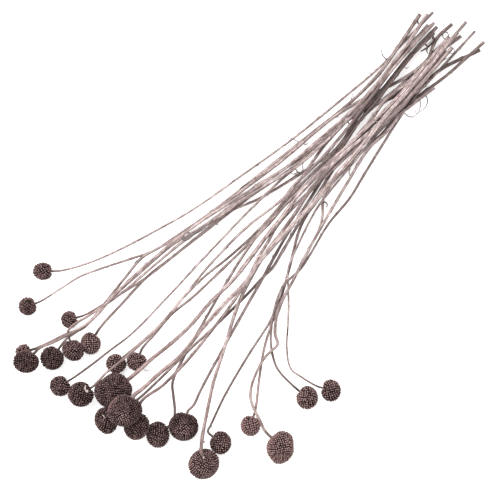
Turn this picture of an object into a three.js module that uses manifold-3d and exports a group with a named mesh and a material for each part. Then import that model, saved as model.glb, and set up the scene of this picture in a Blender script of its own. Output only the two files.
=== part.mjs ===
// A bunch of 24 dried billy buttons lying loose on a table, in millimetres, +Z up.
// Each flower is a ball of florets, the head, on its own bare stem. The heads are at +X
// and the cut ends of the stems at -X.

import * as THREE from 'three';
import { ConvexHull } from 'three/addons/math/ConvexHull.js';
import { mergeVertices } from 'three/addons/utils/BufferGeometryUtils.js';
import Module from 'manifold-3d';

const wasm = await Module();
wasm.setup();

const fieldDepth = 500;        // the bunch is laid out on a square of this side, y towards the viewer
const layAngle = 130.6;        // degrees from that square to the bunch's own long axis
const floretSpacing = 5.4;     // between the tips of neighbouring florets, about twice the real one
const floretHeight = 1.3;      // from the valley between florets to their tips
const floretUnevenness = 0.02; // share by which the lowest tips fall short
const headFlatness = 0.95;     // height of a head as a share of its mean width
const pressedUnder = 0.93;     // share of its half height at which a head is flat below
const socketDepth = 3.2;       // how far a stem reaches into its head
const socketFlare = 1.5;       // how much wider the dimple round a stem is at its mouth
const dimpleReach = 1.8;       // how far past the head's surface the dimple is cut
const dimpleSides = 8;
const fitGap = 0.35;           // between a stem and its socket, and between things that touch
const stemSides = 6;
const sampleSpacing = 2;       // along a stem, for finding what it lies on
const steepestDrop = 0.1;      // of a cut end, per millimetre of stem
const restTolerance = 0.12;    // rests that change the stem's line by less than this are left out

// The flowers from the lowest to the topmost. A head is [x, y, width, depth] and, where it isn't
// square to the field, the angle of its width in degrees. The path is the stem's, from just
// outside its head to its cut end, and thick gives its diameters at the two ends. A stem enters
// its head level unless lift says at how many degrees, and pressed lists the flat sides of a
// head: the direction each one faces, then its distance from the head's middle.
const flowers = [
  {
    head: [69.7, 319.4, 17.4, 17.6],
    thick: [2.0, 3.0],
    path: [[82, 316], [103, 304.5], [128, 289.5], [150, 275], [190, 243], [230, 211.5],
      [256, 200], [303, 172], [335, 150], [368, 112], [400, 86], [443, 43]],
  },
  {
    head: [43.2, 271.1, 20.8, 17.6],
    thick: [2.0, 2.4],
    path: [[58, 271], [76, 267], [100, 258.5], [130, 244.5], [160, 228.5], [190, 211.5],
      [250, 169.5], [292, 139.3], [330, 109], [383.5, 63.3], [403.5, 42.5], [433, 12]],
  },
  {
    head: [28, 306.2, 18.8, 18.6],
    thick: [1.9, 3.6],
    path: [[40, 301.7], [60, 289], [80, 276.6], [100, 268.9], [130, 259], [155, 250], [172, 239],
      [210, 213], [250, 181.8], [305, 138.5], [352, 101], [382, 70], [420, 14]],
  },
  {
    head: [24, 352, 17, 17],
    thick: [2.5, 3.2],
    path: [[34, 349], [50, 342], [66, 334], [83, 328], [95, 316], [105, 303], [125, 278],
      [143, 257], [180, 236], [225, 203], [280, 162], [335, 116.5], [360, 101], [405, 77.5],
      [461, 36]],
  },
  {
    head: [52.4, 357.9, 23.6, 23.7],
    thick: [2.2, 3.2],
    path: [[61, 346], [67, 338.5], [77, 331.5], [88, 323], [113, 297], [140, 273], [175, 243],
      [210, 222], [250, 190.5], [302, 157], [346, 121.5], [370, 107.5], [400, 93.5], [424, 70],
      [437, 38], [452, 24]],
  },
  {
    head: [90.9, 343.1, 20, 22.8],
    thick: [2.4, 3.2],
    path: [[98, 331], [105, 322], [120.5, 305.5], [147, 277], [175, 255], [212, 226], [250, 197],
      [292, 168], [302, 160.3], [318.3, 147.5], [326, 140], [340, 127], [354, 116], [372, 106],
      [405, 86], [436, 57], [466, 22]],
  },
  {
    head: [116.4, 363.3, 21, 19.4],
    thick: [2.2, 3.2],
    path: [[127, 354], [145, 339], [165, 319.5], [184, 297], [205, 276], [225, 260.3],
      [248, 240.3], [258, 230.4], [272, 215.5], [298, 183], [324, 146], [352, 115], [386, 75],
      [428, 25]],
  },
  {
    head: [136.9, 361.1, 20.4, 19],
    thick: [2.4, 3.4],
    path: [[142, 349], [155, 334], [173, 313], [190, 299.5], [220, 271.5], [258, 234],
      [273, 217.5], [284.5, 204], [304, 181.5], [314, 172], [326, 160.5], [344, 139],
      [351, 127.5], [362, 112], [380.5, 91.5], [411, 54], [437, 27]],
  },
  {
    head: [60.4, 385.9, 21, 20.5],
    thick: [2.0, 2.6],
    path: [[73.8, 377.5], [95, 362.3], [110, 350.5], [130.6, 334.8], [170, 294.3], [210, 251.5],
      [250, 210], [284, 177.3], [293, 169.8], [306, 159], [320, 147], [352, 116], [388, 70],
      [425, 28]],
  },
  {
    head: [158, 434.4, 23, 26.7],
    lift: -30,
    thick: [2.5, 3.0],
    path: [[168.5, 426.5], [173.7, 420], [174.9, 411], [173.4, 395], [172.6, 383], [182, 361],
      [205.6, 318.5], [223, 288.3], [240.4, 259.6], [256, 237.5], [270.5, 221.5],
      [283, 207.5], [300, 190.5], [322, 168.5], [333, 157.5], [346, 141.5], [355, 127.5],
      [364, 115], [379, 98], [410, 58], [434, 33]],
  },
  {
    head: [106.2, 420.5, 22.6, 27.2, 15],
    pressed: [[-0.75, -0.67, 10.8]],
    thick: [2.4, 3.2],
    path: [[121, 411], [139, 398.2], [158.5, 380.3], [192.5, 346.9], [220, 321.3], [248.3, 293],
      [266.5, 273.5], [271.3, 269.2], [281, 253.8], [296.3, 227.7], [320, 191], [333.8, 168.5],
      [349, 146], [360, 132.5], [372.5, 117.5], [384, 101.5], [410, 82], [447, 52]],
  },
  {
    head: [220.5, 442.4, 21.6, 23.4],
    thick: [2.2, 3.2],
    path: [[210.7, 434.8], [207.7, 431.2], [210.2, 426], [225, 395], [250, 352.5], [269, 323],
      [281, 297], [291, 261], [299.2, 230], [307, 214.6], [330, 185.5], [369, 145], [380, 136],
      [390, 124.5], [400, 113], [436, 73], [480, 50]],
  },
  {
    head: [250.4, 425.2, 19.8, 21.5],
    thick: [2.4, 3.0],
    path: [[255, 411], [259, 380], [265, 345], [277, 310], [297.5, 272.5], [311.7, 244.3],
      [319.3, 229], [322.4, 214], [322.4, 203.8], [324.5, 194], [340, 171.5], [349, 160.5],
      [376, 132.5], [418, 97], [447, 75], [484, 42]],
  },
  {
    head: [330.7, 390.3, 20, 22.5],
    thick: [1.8, 2.3],
    path: [[318, 386.5], [300, 376], [291.3, 369.5], [286.7, 348], [287.6, 328], [288.5, 308],
      [288, 270], [299, 243], [313, 215], [323, 199.5], [349, 167.5], [379.5, 131.5], [418, 93],
      [475, 31]],
  },
  {
    head: [306.9, 397.4, 21.6, 23.6],
    thick: [2.1, 2.6],
    path: [[294, 386.5], [277.3, 368.5], [273, 357], [270.5, 340], [272, 320], [284, 284],
      [301, 268.3], [309, 256.3], [323.8, 231], [330, 221.8], [350, 197.7], [361, 179.5],
      [384, 142], [404, 111], [428, 79]],
  },
  {
    head: [280.7, 446.4, 28, 32.6, -12],
    pressed: [[1, 0.05, 12.4], [0.5, -0.86, 13.6], [-0.55, 0.83, 13.6]],
    thick: [2.7, 2.9],
    path: [[265.4, 431.2], [260, 420.3], [252.3, 404.6], [250.3, 396.3], [251, 387.5],
      [254.8, 375.6], [265, 356.9], [272.8, 349.1], [277.6, 344.4], [275, 334], [277, 315],
      [300, 266], [324, 222], [347, 183], [369.5, 147.5], [386, 132.5], [403, 112], [434, 88]],
  },
  {
    head: [183.6, 426, 29.5, 28.8],
    thick: [2.6, 3.2],
    path: [[188, 410.5], [193, 406], [200, 391.5], [221, 352.3], [244.3, 310.3], [264.3, 275.3],
      [285, 238], [309.2, 200.3], [333, 163.5], [360, 137], [392, 108], [426, 85]],
  },
  {
    head: [73.4, 349.9, 23.4, 20.4, -45],
    thick: [2.2, 3.0],
    path: [[70, 339], [68.5, 331], [72, 326.5], [90, 315], [118, 296], [150, 269], [184, 241],
      [213, 221], [250, 194.5], [292, 170], [333, 135], [366, 102], [396, 62], [431, 25]],
  },
  {
    head: [26.7, 361.2, 26.5, 22.5],
    thick: [2.4, 3.4],
    path: [[40, 348], [52, 343], [66, 336], [76, 331], [90, 322], [118, 291], [150, 262],
      [185, 233], [225, 206], [280, 172], [315, 143], [350, 113], [378, 83], [407, 45],
      [427, 14]],
  },
  {
    head: [136.9, 425.6, 25, 28.4, -20],
    thick: [2.8, 3.4],
    path: [[139.7, 411.5], [140.2, 403.5], [143.8, 398.6], [161, 386.8], [177, 371.5],
      [190, 357.3], [213.7, 327.7], [231.7, 303.7], [248, 278.5], [259, 256.5], [267.7, 242.5],
      [275.3, 228.5], [288, 213], [306, 195], [350, 153], [382, 125], [412, 92], [446, 53]],
  },
  {
    head: [113.4, 390.3, 38.4, 34.5, 25],
    pressed: [[-0.63, 0.78, 14.8], [-0.77, -0.64, 18]],
    thick: [3.7, 4.0],
    path: [[131, 377.3], [153.2, 357.8], [173, 342], [192, 323.7], [210, 302.5], [231.7, 281],
      [255, 251.7], [268.3, 233.7], [282, 217.5], [294.8, 199.8], [311, 181.8], [344, 149.5],
      [374, 121], [404, 91], [449, 37]],
  },
  {
    head: [203.8, 463.5, 32, 29.2, 40],
    lift: 48,
    thick: [3.2, 3.6],
    path: [[201.4, 449.5], [202, 440], [207.4, 411], [213.8, 382], [226, 343], [238.3, 303.7],
      [250, 279.5], [264, 255.5], [283.7, 229.4], [296.3, 212], [307.7, 193.8], [320.8, 177.7],
      [337, 160], [369, 133], [401, 107], [452, 48]],
  },
  {
    head: [81.2, 394, 26, 25],
    thick: [2.2, 3.0],
    path: [[93.6, 386], [106.5, 372.6], [115.5, 365.5], [132, 352], [156, 329.5], [184, 296.5],
      [210, 264.5], [246, 228], [283, 198.5], [293, 186.5], [304, 176.3], [317, 163.3],
      [331, 148], [366, 104], [392, 70], [434, 23]],
  },
  {
    head: [125.5, 409.9, 34.8, 31.4],
    pressed: [[-0.76, 0.65, 15.7], [0.67, -0.75, 14.2]],
    thick: [3.7, 4.0],
    path: [[134.5, 394.5], [141.7, 389], [162, 371], [180, 356], [205, 325.7], [228.3, 299.7],
      [246.3, 281], [260.3, 260.5], [280.3, 238], [297.8, 219.2], [313.2, 203], [328.5, 184.5],
      [354.2, 155], [386.4, 115], [418, 80], [457, 33]],
  },
];

const headMaterial = new THREE.MeshStandardMaterial({ color: 0x4e3f3c, roughness: 0.95, metalness: 0 });
const stemMaterial = new THREE.MeshStandardMaterial({ color: 0xa48a86, roughness: 0.85, metalness: 0 });

const up = new THREE.Vector3(0, 0, 1);

function plan([x, y]) {
  return new THREE.Vector2(x, fieldDepth - y);
}

// A head's half sizes and the turn of its width, as one matrix from a ball of radius 1.
function headShape([, , width, depth, turn = 0]) {
  const height = headFlatness * (width + depth) / 2;
  const angle = THREE.MathUtils.degToRad(turn);
  const turned = new THREE.Matrix4().makeRotationZ(angle);
  const back = new THREE.Matrix4().makeRotationZ(-angle);
  return turned.multiply(new THREE.Matrix4().makeScale(width / 2, depth / 2, height / 2)).multiply(back);
}

// Distance from the head's middle to its surface in a direction.
function headReach(shape, direction) {
  const inBall = direction.clone().normalize().applyMatrix4(shape.clone().invert());
  return 1 / inBall.length();
}

// How far the middle of an upper thing must be above that of a lower one that it passes over.
function riseOver(distance, reach, rise) {
  return distance < reach ? rise * Math.sqrt(1 - (distance / reach) ** 2) : -Infinity;
}

function flatReach(head, x, y) {
  return headReach(head.shape, new THREE.Vector3(x, y, 0));
}

// A head lies on the table, or on the heads and stems that are already there.
function layHead(flower, laid) {
  const middle = plan(flower.head);
  const shape = headShape(flower.head);
  const halfHeight = headReach(shape, up);
  const head = { middle, shape, halfHeight, level: halfHeight * pressedUnder };
  for (const other of laid) {
    const offset = middle.clone().sub(other.head.middle);
    const reach = flatReach(head, offset.x, offset.y) + flatReach(other.head, offset.x, offset.y) + fitGap;
    const rise = halfHeight + other.head.halfHeight + fitGap;
    head.level = Math.max(head.level, other.head.level + riseOver(offset.length(), reach, rise));
    for (const spot of other.samples) {
      head.level = Math.max(head.level, spot.level + riseAboveHead(head, spot));
    }
  }
  return head;
}

function riseAboveHead(head, spot) {
  const x = spot.place.x - head.middle.x;
  const y = spot.place.y - head.middle.y;
  const extra = spot.radius + fitGap;
  return riseOver(Math.hypot(x, y), flatReach(head, x, y) + extra, head.halfHeight + extra);
}

// The stem's way seen from above, as stations with a radius: from the bottom of its socket to
// the head's surface, and on through the points of its path to the cut end.
function stemWay(flower, head) {
  const lift = THREE.MathUtils.degToRad(flower.lift ?? 0);
  const away = plan(flower.path[0]).sub(head.middle).normalize();
  const entry = new THREE.Vector3(away.x * Math.cos(lift), away.y * Math.cos(lift), Math.sin(lift));
  const middle = new THREE.Vector3(head.middle.x, head.middle.y, head.level);
  const surface = headReach(head.shape, entry);
  const mouth = entry.clone().multiplyScalar(surface).add(middle);
  const inside = entry.clone().multiplyScalar(surface - socketDepth).add(middle);
  const corners = [mouth, ...flower.path.map(plan)].map((c) => new THREE.Vector2(c.x, c.y));
  const lengths = new THREE.SplineCurve(corners).getLengths(corners.length - 1);
  const [thin, wide] = flower.thick;
  const way = corners.map((place, i) => ({
    place,
    radius: THREE.MathUtils.lerp(thin, wide, lengths[i] / lengths.at(-1)) / 2,
    level: 0,
  }));
  way[0].level = mouth.z;
  way.unshift({ place: new THREE.Vector2(inside.x, inside.y), radius: thin / 2, level: inside.z });
  return { way, entry, surface };
}

// Close spots along a stem from its head's surface, each with its way along the stem.
function samplesAlong(stations) {
  const samples = [];
  let way = 0;
  for (let k = 1; k < stations.length - 1; k++) {
    const near = stations[k];
    const far = stations[k + 1];
    const length = near.place.distanceTo(far.place);
    const count = Math.ceil(length / sampleSpacing);
    for (let i = 0; i < count; i++) {
      samples.push({ ...between(near, far, i / count), way: way + length * i / count, onCurve: i === 0 });
    }
    way += length;
  }
  samples.push({ ...stations.at(-1), way, onCurve: true });
  return samples;
}

function between(near, far, share) {
  return {
    place: near.place.clone().lerp(far.place, share),
    radius: THREE.MathUtils.lerp(near.radius, far.radius, share),
    level: THREE.MathUtils.lerp(near.level, far.level, share),
  };
}

// The lowest level that a stem's middle can have at a spot, over all that is laid already.
function lowestLevel(spot, laid) {
  let lowest = spot.radius;
  for (const other of laid) {
    lowest = Math.max(lowest, other.head.level + riseAboveHead(other.head, spot));
    for (let k = 1; k < other.stations.length - 1; k++) {
      const near = other.stations[k];
      const far = other.stations[k + 1];
      const along = far.place.clone().sub(near.place);
      const share = THREE.MathUtils.clamp(
        spot.place.clone().sub(near.place).dot(along) / along.lengthSq(), 0, 1);
      const distance = near.place.clone().lerp(far.place, share).distanceTo(spot.place);
      const reach = spot.radius + THREE.MathUtils.lerp(near.radius, far.radius, share) + fitGap;
      const level = THREE.MathUtils.lerp(near.level, far.level, share);
      lowest = Math.max(lowest, level + riseOver(distance, reach, reach));
    }
  }
  return lowest;
}

// The corners of a line pulled tight over the spots: where the stem rests on something.
function tightLine(spots) {
  const corners = [];
  for (const spot of spots) {
    while (corners.length > 1 && !standOut([corners.at(-1)], corners.at(-2), spot, 0)) {
      corners.pop();
    }
    corners.push(spot);
  }
  return corners;
}

function standOut(spots, before, after, tolerance) {
  return spots.some((spot) => spot.level > levelBetween(before, after, spot.way) + tolerance);
}

// Leaves out the rests that hardly bend the line.
function fewerRests(rests) {
  const kept = [rests[0]];
  let skipped = [];
  for (let i = 1; i < rests.length - 1; i++) {
    skipped.push(rests[i]);
    if (standOut(skipped, kept.at(-1), rests[i + 1], restTolerance)) {
      kept.push(rests[i]);
      skipped = [];
    }
  }
  kept.push(rests.at(-1));
  return kept;
}

function levelBetween(before, after, way) {
  return THREE.MathUtils.lerp(before.level, after.level, (way - before.way) / (after.way - before.way));
}

// A stiff stem lies straight from one thing that it rests on to the next, and clear of them all.
// Its rests become stations too, and its cut end drops no faster than a stem can bend.
function layStem(way, laid) {
  const samples = samplesAlong(way);
  for (const sample of samples.slice(1)) {
    sample.level = lowestLevel(sample, laid);
  }
  const end = samples.at(-1);
  for (const sample of samples) {
    end.level = Math.max(end.level, sample.level - steepestDrop * (end.way - sample.way));
  }
  const rests = fewerRests(tightLine(samples));
  for (const sample of samples) {
    const next = Math.max(1, rests.findIndex((rest) => rest.way >= sample.way));
    sample.level = levelBetween(rests[next - 1], rests[next], sample.way);
  }
  const stations = samples.filter((sample) => sample.onCurve || rests.includes(sample));
  return { stations: [way[0], ...stations], samples };
}

function layBunch() {
  const laid = [];
  for (const flower of flowers) {
    const head = layHead(flower, laid);
    const { way, entry, surface } = stemWay(flower, head);
    const { stations, samples } = layStem(way, laid);
    laid.push({ flower, head, stations, entry, surface, samples });
  }
  return laid;
}

function positionsOnly(geometry) {
  geometry.deleteAttribute('normal');
  geometry.deleteAttribute('uv');
  return mergeVertices(geometry);
}

// A straight six-sided rod is bent and tapered along the stem's stations.
function stemGeometry(stations) {
  const last = stations.length - 1;
  const rod = positionsOnly(new THREE.CylinderGeometry(1, 1, 1, stemSides, last));
  const points = stations.map((s) => new THREE.Vector3(s.place.x, s.place.y, s.level));
  const spot = rod.getAttribute('position');
  for (let i = 0; i < spot.count; i++) {
    const k = Math.round((spot.getY(i) + 0.5) * last);
    const before = points[Math.max(k - 1, 0)];
    const after = points[Math.min(k + 1, last)];
    const tangent = after.clone().sub(before).normalize();
    const side = tangent.clone().cross(up).normalize();
    const top = side.clone().cross(tangent);
    const radius = stations[k].radius;
    const place = points[k].clone()
      .addScaledVector(side, spot.getX(i) * radius)
      .addScaledVector(top, spot.getZ(i) * radius);
    spot.setXYZ(i, place.x, place.y, place.z);
  }
  return rod;
}

// Even points on a ball of radius 1, in the spiral rows that florets grow in round the axis.
function spiralPoints(count, axis) {
  const turn = new THREE.Quaternion().setFromUnitVectors(up, axis);
  const goldenAngle = Math.PI * (3 - Math.sqrt(5));
  return Array.from({ length: count }, (_, i) => {
    const height = 1 - (2 * i + 1) / count;
    const ring = Math.sqrt(1 - height * height);
    const angle = i * goldenAngle;
    return new THREE.Vector3(ring * Math.cos(angle), ring * Math.sin(angle), height)
      .applyQuaternion(turn);
  });
}

// A point of the ball moved to the head's surface, pressed flat where the head is.
function onHead(direction, head, flower, sunk) {
  const point = direction.clone().normalize().applyMatrix4(head.shape);
  const flats = [[0, 0, -1, head.halfHeight * pressedUnder]];
  for (const [x, y, limit] of flower.pressed ?? []) {
    flats.push([x, y, 0, limit]);
  }
  for (const [x, y, z, limit] of flats) {
    const reach = point.dot(new THREE.Vector3(x, y, z).normalize());
    if (reach > limit) {
      point.multiplyScalar(limit / reach);
    }
  }
  return point.setLength(point.length() - sunk);
}

// Every floret is a low pyramid: its tip is a point of the spiral, and its corners are the
// middles of the triangles round that tip, sunk to form the valley.
function floretBall(head, flower, entry) {
  const [, , width, depth] = flower.head;
  const radius = (width + depth) / 4;
  const count = Math.round(4 * Math.PI * radius ** 2 / (floretSpacing ** 2 * Math.sqrt(3) / 2));
  const tips = spiralPoints(count, entry.clone().negate());
  const uneven = floretUnevenness * radius;
  const shortfalls = new Map(tips.map((tip) => [tip, uneven * THREE.MathUtils.seededRandom()]));
  const hull = new ConvexHull().setFromPoints(tips);
  const corners = [];
  for (const face of hull.faces) {
    let edge = face.edge;
    do {
      const tip = edge.tail().point;
      corners.push(
        onHead(tip, head, flower, shortfalls.get(tip)),
        onHead(edge.twin.face.midpoint, head, flower, floretHeight),
        onHead(face.midpoint, head, flower, floretHeight),
      );
      edge = edge.next;
    } while (edge !== face.edge);
  }
  return mergeVertices(new THREE.BufferGeometry().setFromPoints(corners));
}

// What is cut from a head where its stem enters: a cone that runs out past the florets.
function dimpleGeometry(entry, surface, stemRadius) {
  const inner = stemRadius + fitGap;
  const bottom = surface - socketDepth - fitGap;
  const length = surface + dimpleReach - bottom;
  const cone = new THREE.CylinderGeometry(inner + socketFlare, inner, length, dimpleSides);
  cone.translate(0, bottom + length / 2, 0);
  cone.applyQuaternion(new THREE.Quaternion().setFromUnitVectors(new THREE.Vector3(0, 1, 0), entry));
  return positionsOnly(cone);
}

function solid(geometry) {
  return new wasm.Manifold(new wasm.Mesh({
    numProp: 3,
    vertProperties: new Float32Array(geometry.getAttribute('position').array),
    triVerts: new Uint32Array(geometry.getIndex().array),
  }));
}

function geometryOf(body) {
  const { vertProperties, triVerts } = body.getMesh();
  const geometry = new THREE.BufferGeometry();
  geometry.setAttribute('position', new THREE.BufferAttribute(vertProperties, 3));
  geometry.setIndex(new THREE.BufferAttribute(triVerts, 1));
  return geometry;
}

function headGeometry({ flower, head, entry, surface }) {
  const ball = solid(floretBall(head, flower, entry));
  const dimple = solid(dimpleGeometry(entry, surface, flower.thick[0] / 2));
  return geometryOf(ball.subtract(dimple));
}

function namedMesh(name, geometry, material) {
  const mesh = new THREE.Mesh(geometry, material);
  mesh.name = name;
  return mesh;
}

const bunch = new THREE.Group();
for (const [i, laid] of layBunch().entries()) {
  const number = String(i + 1).padStart(2, '0');
  const head = namedMesh(`head_${number}`, headGeometry(laid), headMaterial);
  head.position.set(laid.head.middle.x, laid.head.middle.y, laid.head.level);
  bunch.add(head, namedMesh(`stem_${number}`, stemGeometry(laid.stations), stemMaterial));
}
bunch.rotation.z = THREE.MathUtils.degToRad(layAngle);

// The origin is on the table, under the middle of the bunch.
const group = new THREE.Group();
group.add(bunch);
group.updateMatrixWorld(true);
const box = new THREE.Box3().setFromObject(group, true);
bunch.position.set(-(box.min.x + box.max.x) / 2, -(box.min.y + box.max.y) / 2, -box.min.z);

export default group;
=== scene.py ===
import math
import random

import bmesh
import bpy
from mathutils import Matrix, Vector, noise
from mathutils.bvhtree import BVHTree
from mathutils.geometry import interpolate_bezier


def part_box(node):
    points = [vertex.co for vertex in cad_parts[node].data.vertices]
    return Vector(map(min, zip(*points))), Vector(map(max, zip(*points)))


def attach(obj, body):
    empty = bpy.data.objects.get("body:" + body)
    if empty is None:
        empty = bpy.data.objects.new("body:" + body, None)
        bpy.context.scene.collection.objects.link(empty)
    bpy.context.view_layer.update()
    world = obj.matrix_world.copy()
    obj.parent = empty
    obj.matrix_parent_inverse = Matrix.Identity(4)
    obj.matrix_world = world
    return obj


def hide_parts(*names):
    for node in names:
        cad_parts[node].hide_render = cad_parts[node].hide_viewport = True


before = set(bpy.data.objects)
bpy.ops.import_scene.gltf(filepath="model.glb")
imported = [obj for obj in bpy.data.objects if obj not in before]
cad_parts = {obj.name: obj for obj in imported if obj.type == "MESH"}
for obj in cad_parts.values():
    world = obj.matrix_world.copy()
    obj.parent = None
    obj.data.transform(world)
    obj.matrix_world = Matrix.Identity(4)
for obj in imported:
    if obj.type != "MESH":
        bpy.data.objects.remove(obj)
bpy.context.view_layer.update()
mm = 0.001
print("frame loaded,", len(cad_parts), "nodes")

# How the square field that the bunch is seen on lies in the part's frame
field = {
    "middle": Vector((0.03610, -0.00630, 0)),  # the part's place under the middle of the field
    "turn": math.radians(130.6),  # from the field's right to the part's +X
    "side": 0.5,
}


def fieldDirection(x, y, z):
    # a direction given as right, away and up in the field
    return (Matrix.Rotation(field["turn"], 3, "Z") @ Vector((x, y, z))).normalized()


def onField(x, y, height=0.0):
    # a place in millimetres from the field's left and far edges, as a point in the part's frame
    half = field["side"] / 2
    flat = Vector((x * mm - half, half - y * mm, height * mm))
    return Matrix.Rotation(field["turn"], 3, "Z") @ flat + field["middle"]


# Shader groups that the materials share

def addNode(tree, kind, inputs=None, **settings):
    node = tree.nodes.new(kind)
    for name, value in settings.items():
        setattr(node, name, value)
    return fillInputs(tree, node, inputs or {})


def fillInputs(tree, node, inputs):
    for name, value in inputs.items():
        if isinstance(value, bpy.types.NodeSocket):
            tree.links.new(value, node.inputs[name])
        else:
            node.inputs[name].default_value = value
    return node


def newGroup(name, inputs, outputs):
    tree = bpy.data.node_groups.new(name, "ShaderNodeTree")
    for label, kind, value in inputs:
        socket = tree.interface.new_socket(name=label, in_out="INPUT", socket_type=kind)
        if value is not None:
            socket.default_value = value
    for label, kind in outputs:
        tree.interface.new_socket(name=label, in_out="OUTPUT", socket_type=kind)
    return tree, tree.nodes.new("NodeGroupInput"), tree.nodes.new("NodeGroupOutput")


def blotchGroup():
    # soft patches: 0 outside them, 1 inside
    tree, given, out = newGroup(
        "blotches",
        [("Vector", "NodeSocketVector", None), ("Scale", "NodeSocketFloat", 40.0),
         ("From", "NodeSocketFloat", 0.45), ("To", "NodeSocketFloat", 0.6)],
        [("Mask", "NodeSocketFloat")])
    clouds = addNode(tree, "ShaderNodeTexNoise", {
        "Vector": given.outputs["Vector"], "Scale": given.outputs["Scale"], "Detail": 4.0, "Roughness": 0.6})
    edge = addNode(tree, "ShaderNodeMapRange", {
        "Value": clouds.outputs["Fac"], "From Min": given.outputs["From"], "From Max": given.outputs["To"]},
        interpolation_type="SMOOTHSTEP")
    tree.links.new(edge.outputs["Result"], out.inputs["Mask"])
    return tree


def grainGroup():
    # long fine streaks along the first axis of the vector
    tree, given, out = newGroup(
        "fibreGrain",
        [("Vector", "NodeSocketVector", None), ("Stretch", "NodeSocketFloat", 0.06),
         ("Fineness", "NodeSocketFloat", 3.0)],
        [("Streaks", "NodeSocketFloat"), ("Relief", "NodeSocketFloat")])
    parts = addNode(tree, "ShaderNodeSeparateXYZ", {"Vector": given.outputs["Vector"]})
    slow = addNode(tree, "ShaderNodeMath", {0: parts.outputs["X"], 1: given.outputs["Stretch"]},
                   operation="MULTIPLY")
    drawn = addNode(tree, "ShaderNodeCombineXYZ", {
        "X": slow.outputs["Value"], "Y": parts.outputs["Y"], "Z": parts.outputs["Z"]})
    coarse = addNode(tree, "ShaderNodeTexNoise", {
        "Vector": drawn.outputs["Vector"], "Scale": given.outputs["Fineness"], "Detail": 3.0})
    fine = addNode(tree, "ShaderNodeTexNoise", {
        "Vector": drawn.outputs["Vector"], "Scale": 9.0, "Detail": 2.0})
    streaks = addNode(tree, "ShaderNodeMapRange", {
        "Value": coarse.outputs["Fac"], "From Min": 0.44, "From Max": 0.66})
    relief = addNode(tree, "ShaderNodeMath", {0: coarse.outputs["Fac"], 1: fine.outputs["Fac"]},
                     operation="ADD")
    tree.links.new(streaks.outputs["Result"], out.inputs["Streaks"])
    tree.links.new(relief.outputs["Value"], out.inputs["Relief"])
    return tree


def fadeGroup():
    # turns a colour towards another by a mask and an amount
    tree, given, out = newGroup(
        "fading",
        [("Color", "NodeSocketColor", (0.1, 0.1, 0.1, 1)), ("Towards", "NodeSocketColor", (0.5, 0.5, 0.5, 1)),
         ("Mask", "NodeSocketFloat", 0.0), ("Amount", "NodeSocketFloat", 1.0)],
        [("Color", "NodeSocketColor")])
    share = addNode(tree, "ShaderNodeMath", {0: given.outputs["Mask"], 1: given.outputs["Amount"]},
                    operation="MULTIPLY", use_clamp=True)
    blend = addNode(tree, "ShaderNodeMix", data_type="RGBA")
    tree.links.new(share.outputs["Value"], blend.inputs["Factor"])
    tree.links.new(given.outputs["Color"], blend.inputs[6])
    tree.links.new(given.outputs["Towards"], blend.inputs[7])
    tree.links.new(blend.outputs[2], out.inputs["Color"])
    return tree


blotches = blotchGroup()
fibreGrain = grainGroup()
fading = fadeGroup()


def useGroup(tree, group, inputs):
    node = tree.nodes.new("ShaderNodeGroup")
    node.node_tree = group
    return fillInputs(tree, node, inputs)


def startMaterial(name, **plain):
    material = bpy.data.materials.new(name)
    material.use_nodes = True
    shader = material.node_tree.nodes["Principled BSDF"]
    for socket, value in plain.items():
        shader.inputs[socket.replace("_", " ")].default_value = value
    return material, material.node_tree, shader


def attribute(tree, name, output="Fac"):
    return addNode(tree, "ShaderNodeAttribute", attribute_name=name).outputs[output]


def faded(tree, color, towards, mask, amount=1.0):
    return useGroup(tree, fading, {"Color": color, "Towards": towards, "Mask": mask,
                                   "Amount": amount}).outputs["Color"]


def smoothStep(tree, value, low, high):
    return addNode(tree, "ShaderNodeMapRange", {"Value": value, "From Min": low, "From Max": high},
                   interpolation_type="SMOOTHSTEP").outputs["Result"]


floretFinish = {
    # near black: painted shade in the crevices, on the florets' feet and the ball between them
    "paintedCreviceShade": (0.005, 0.0018, 0.0017, 1),
    "side": (0.132, 0.073, 0.068, 1),
    "tip": (0.60, 0.45, 0.425, 1),
    "rosy": (0.32, 0.195, 0.190, 1),
}


def floretMaterial():
    material, tree, shader = startMaterial("driedFlorets", Roughness=0.9, Specular_IOR_Level=0.08)
    place = addNode(tree, "ShaderNodeTexCoord").outputs["Object"]
    tip = attribute(tree, "tip")
    tone = attribute(tree, "tone")
    # from the painted crevice shade at a floret's foot to its side colour, then to its pale tip
    color = faded(tree, floretFinish["paintedCreviceShade"], floretFinish["side"], smoothStep(tree, tip, 0.0, 0.5), tone)
    color = faded(tree, color, floretFinish["tip"], smoothStep(tree, tip, 0.5, 1.0), tone)
    patches = useGroup(tree, blotches, {"Vector": place, "Scale": 170.0, "From": 0.42, "To": 0.66})
    color = faded(tree, color, floretFinish["rosy"], patches.outputs["Mask"], amount=0.2)
    color = faded(tree, color, floretFinish["rosy"], attribute(tree, "rosy"), amount=0.8)
    tree.links.new(color, shader.inputs["Base Color"])
    grit = addNode(tree, "ShaderNodeTexNoise", {"Vector": place, "Scale": 2600.0, "Detail": 2.0})
    bump = addNode(tree, "ShaderNodeBump", {
        "Height": grit.outputs["Fac"], "Strength": 0.35, "Distance": 0.0002})
    tree.links.new(bump.outputs["Normal"], shader.inputs["Normal"])
    return material


stemFinish = {
    "bare": (0.66, 0.56, 0.54, 1),
    # dark of the real streaks and specks, and also of the painted shade in the rib valleys and on the stem's
    # flanks and underside
    "streakAndShade": (0.105, 0.062, 0.056, 1),
    "bark": (0.94, 0.78, 0.76, 1),
    "rust": (0.30, 0.150, 0.135, 1),
    "blush": (0.52, 0.305, 0.265, 1),
    "grey": (0.175, 0.143, 0.134, 1),
    "neck": (0.045, 0.030, 0.026, 1),
    "pith": (0.42, 0.35, 0.31, 1),
}


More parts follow.
